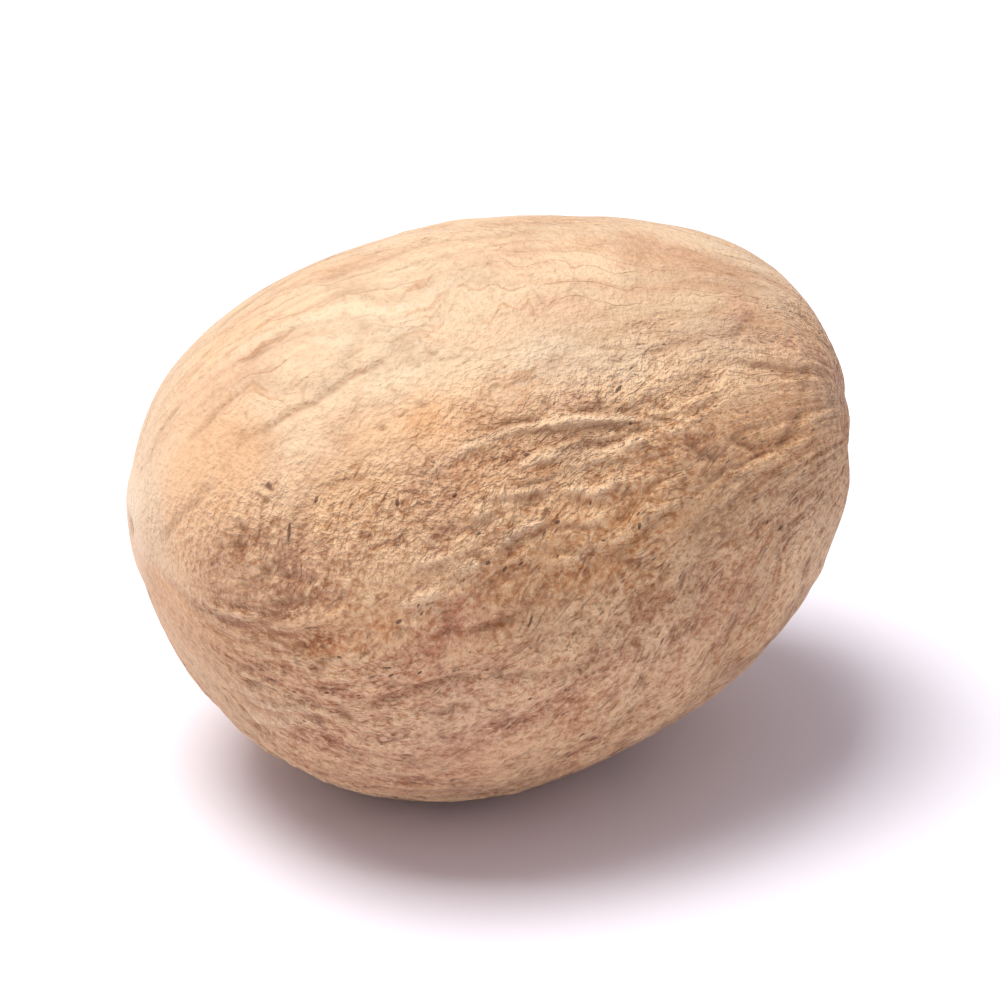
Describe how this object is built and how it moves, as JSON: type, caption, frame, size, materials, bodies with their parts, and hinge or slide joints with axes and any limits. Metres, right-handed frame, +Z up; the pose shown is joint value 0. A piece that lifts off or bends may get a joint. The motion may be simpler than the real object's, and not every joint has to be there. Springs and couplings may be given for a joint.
{
  "type": "whole nutmeg",
  "caption": "Whole dried nutmeg seed lying on its side: a blunt egg with lengthwise ribs, shallow furrows, a pale hilum scar and a dimpled far end.",
  "frame": {"origin": "on the small flat that the seed rests on, at the middle of that flat's plane below the middle of the seed", "axes": "+X towards the chalaza, the end with the dimple; +Y to the back, away from the side the picture shows; +Z up"},
  "size_m": [0.0267, 0.0211, 0.0198],
  "materials": {
    "seed_shell": "dry, dull, woody brown surface with fine furrows"
  },
  "bodies": {
    "root": {"nutmeg": "seed_shell"}
  },
  "joints": []
}
